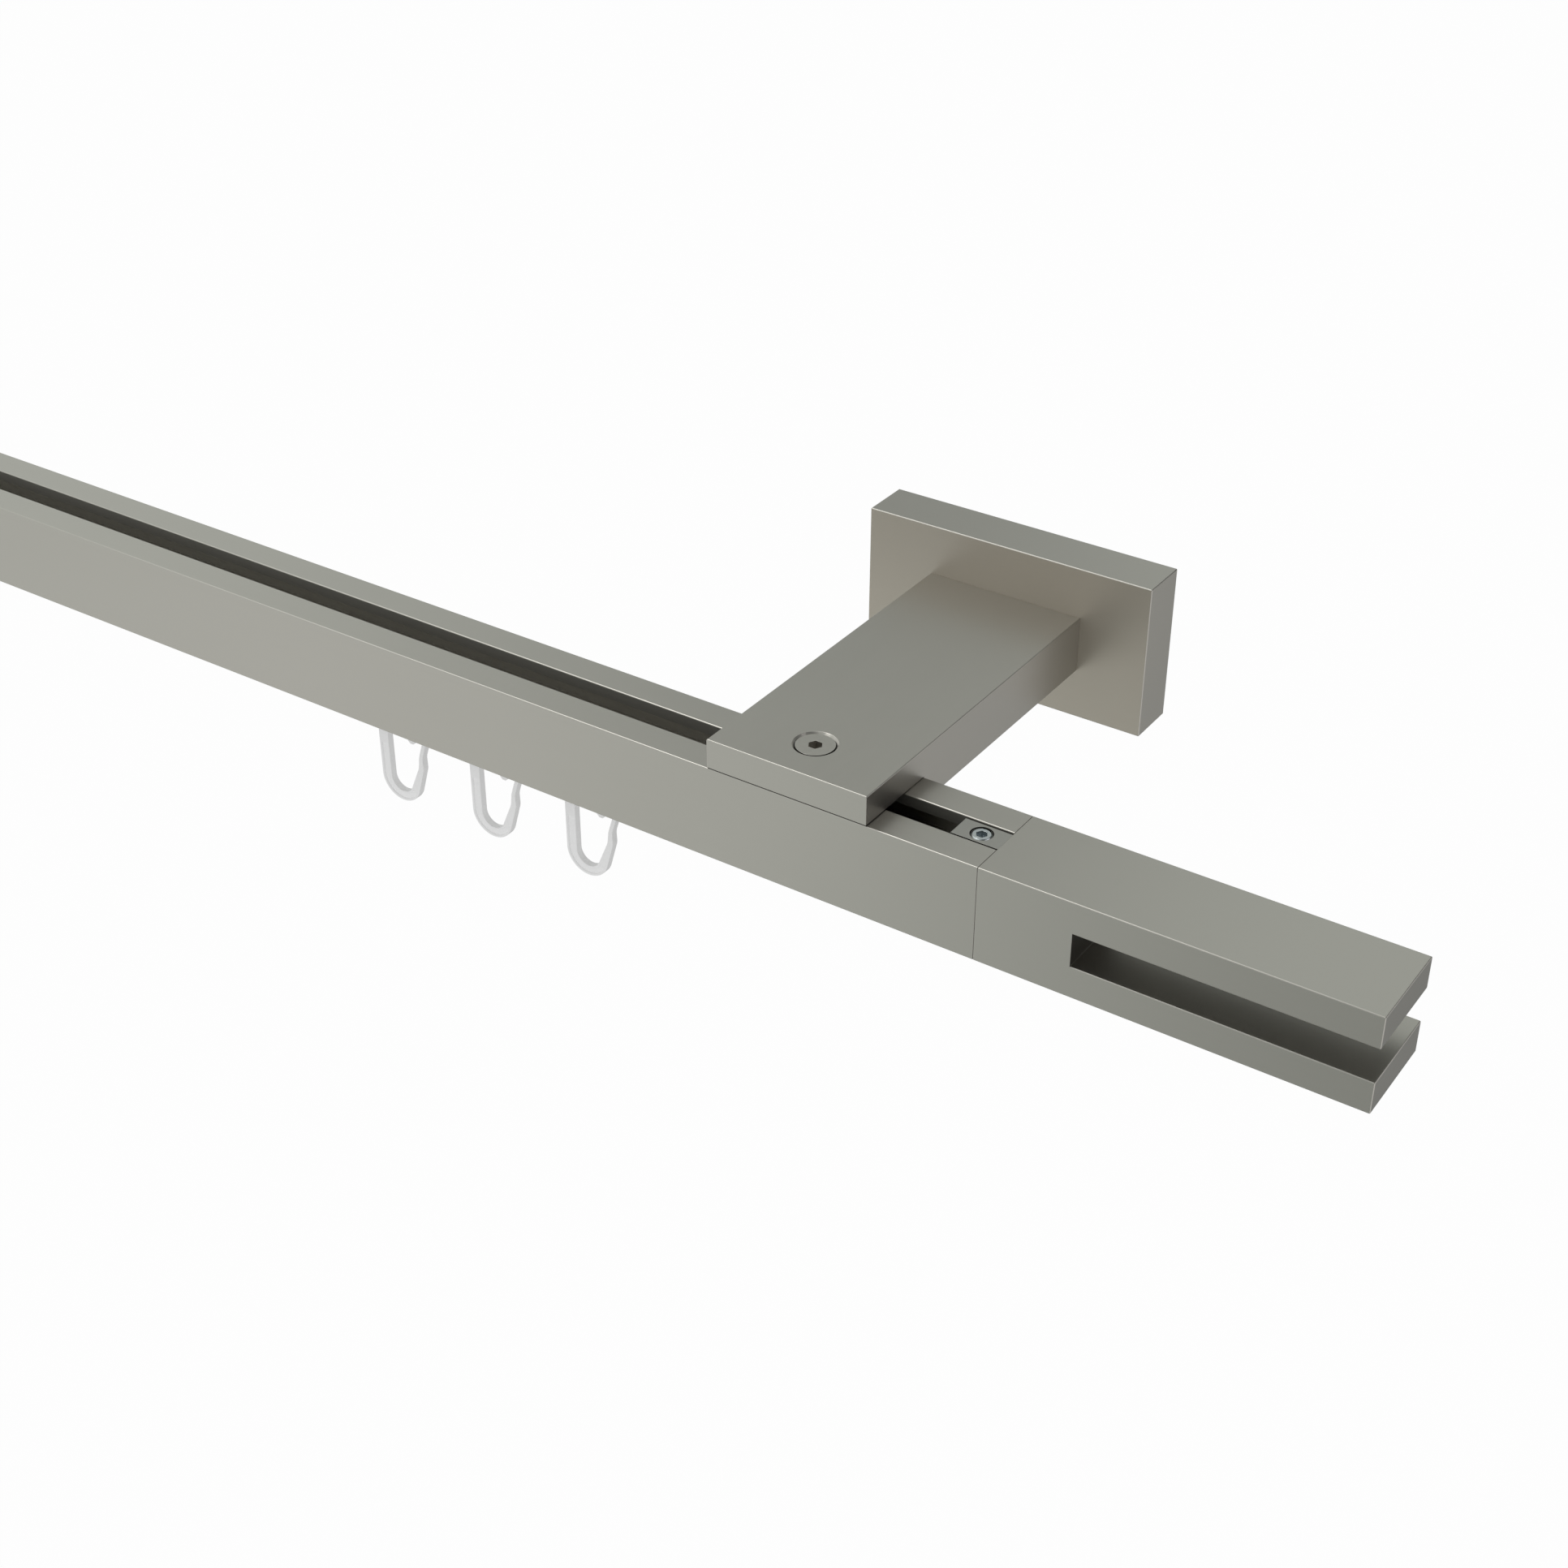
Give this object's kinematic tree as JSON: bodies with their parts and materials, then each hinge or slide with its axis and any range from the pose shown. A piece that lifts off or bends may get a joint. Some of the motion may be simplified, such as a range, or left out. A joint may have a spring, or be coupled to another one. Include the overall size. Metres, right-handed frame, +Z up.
{
  "type": "curtain rod",
  "caption": "Square curtain rod with inner track, forked finials and wall brackets; gliders run in its lower slot and carry swinging curtain hooks.",
  "frame": {"origin": "on the wall, midway between the two brackets, at mid height of their arms", "axes": "+X along the rod to the right as seen from the room, +Y into the wall, +Z up"},
  "size_m": [1.1508, 0.091, 0.0609],
  "materials": {
    "satin_nickel": "satin brushed nickel plating",
    "connector_metal": "satin",
    "zinc_steel": "bright zinc plating",
    "glider_plastic": "satin moulded",
    "hook_plastic": "translucent moulded"
  },
  "bodies": {
    "rod": {"rail": "satin_nickel", "bracket_arm_left": "satin_nickel", "bracket_arm_right": "satin_nickel", "rail_screw_left": "satin_nickel", "rail_screw_right": "satin_nickel", "slot_nut_left": "zinc_steel", "slot_nut_right": "zinc_steel", "wall_cover_left": "satin_nickel", "wall_cover_right": "satin_nickel", "wall_plate_left": "zinc_steel", "wall_plate_right": "zinc_steel", "arm_screws_left": "zinc_steel", "arm_screws_right": "zinc_steel", "cover_grub_screws_left": "zinc_steel", "cover_grub_screws_right": "zinc_steel", "finial_left": "satin_nickel", "finial_right": "satin_nickel", "finial_connector_left": "connector_metal", "finial_connector_right": "connector_metal", "connector_grub_screw_left": "zinc_steel", "connector_grub_screw_right": "zinc_steel", "finial_grub_screw_left": "zinc_steel", "finial_grub_screw_right": "zinc_steel"},
    "glider_1": {"glider_1": "glider_plastic"},
    "hook_1": {"curtain_hook_1": "hook_plastic"},
    "glider_2": {"glider_2": "glider_plastic"},
    "hook_2": {"curtain_hook_2": "hook_plastic"},
    "glider_3": {"glider_3": "glider_plastic"},
    "hook_3": {"curtain_hook_3": "hook_plastic"},
    "glider_4": {"glider_4": "glider_plastic"},
    "hook_4": {"curtain_hook_4": "hook_plastic"},
    "glider_5": {"glider_5": "glider_plastic"},
    "hook_5": {"curtain_hook_5": "hook_plastic"},
    "glider_6": {"glider_6": "glider_plastic"},
    "hook_6": {"curtain_hook_6": "hook_plastic"}
  },
  "joints": [
    {"name": "glider_1_slide", "type": "slide", "parent": "rod", "child": "glider_1", "axis": [1, 0, 0], "range_m": [-0.0904, 0.0116]},
    {"name": "hook_1_swing", "type": "hinge", "parent": "glider_1", "child": "hook_1", "pos_m": [-0.40465, -0.081, -0.0243], "axis": [0, 1, 0], "range_deg": [-40, 40]},
    {"name": "glider_2_slide", "type": "slide", "parent": "rod", "child": "glider_2", "axis": [1, 0, 0], "range_m": [-0.0116, 0.0116]},
    {"name": "hook_2_swing", "type": "hinge", "parent": "glider_2", "child": "hook_2", "pos_m": [-0.37945, -0.081, -0.0243], "axis": [0, 1, 0], "range_deg": [-40, 40]},
    {"name": "glider_3_slide", "type": "slide", "parent": "rod", "child": "glider_3", "axis": [1, 0, 0], "range_m": [-0.0116, 0.6949]},
    {"name": "hook_3_swing", "type": "hinge", "parent": "glider_3", "child": "hook_3", "pos_m": [-0.35425, -0.081, -0.0243], "axis": [0, 1, 0], "range_deg": [-40, 40]},
    {"name": "glider_4_slide", "type": "slide", "parent": "rod", "child": "glider_4", "axis": [1, 0, 0], "range_m": [-0.6949, 0.0116]},
    {"name": "hook_4_swing", "type": "hinge", "parent": "glider_4", "child": "hook_4", "pos_m": [0.35425, -0.081, -0.0243], "axis": [0, 1, 0], "range_deg": [-40, 40]},
    {"name": "glider_5_slide", "type": "slide", "parent": "rod", "child": "glider_5", "axis": [1, 0, 0], "range_m": [-0.0116, 0.0116]},
    {"name": "hook_5_swing", "type": "hinge", "parent": "glider_5", "child": "hook_5", "pos_m": [0.37945, -0.081, -0.0243], "axis": [0, 1, 0], "range_deg": [-40, 40]},
    {"name": "glider_6_slide", "type": "slide", "parent": "rod", "child": "glider_6", "axis": [1, 0, 0], "range_m": [-0.0116, 0.0904]},
    {"name": "hook_6_swing", "type": "hinge", "parent": "glider_6", "child": "hook_6", "pos_m": [0.40465, -0.081, -0.0243], "axis": [0, 1, 0], "range_deg": [-40, 40]}
  ]
}
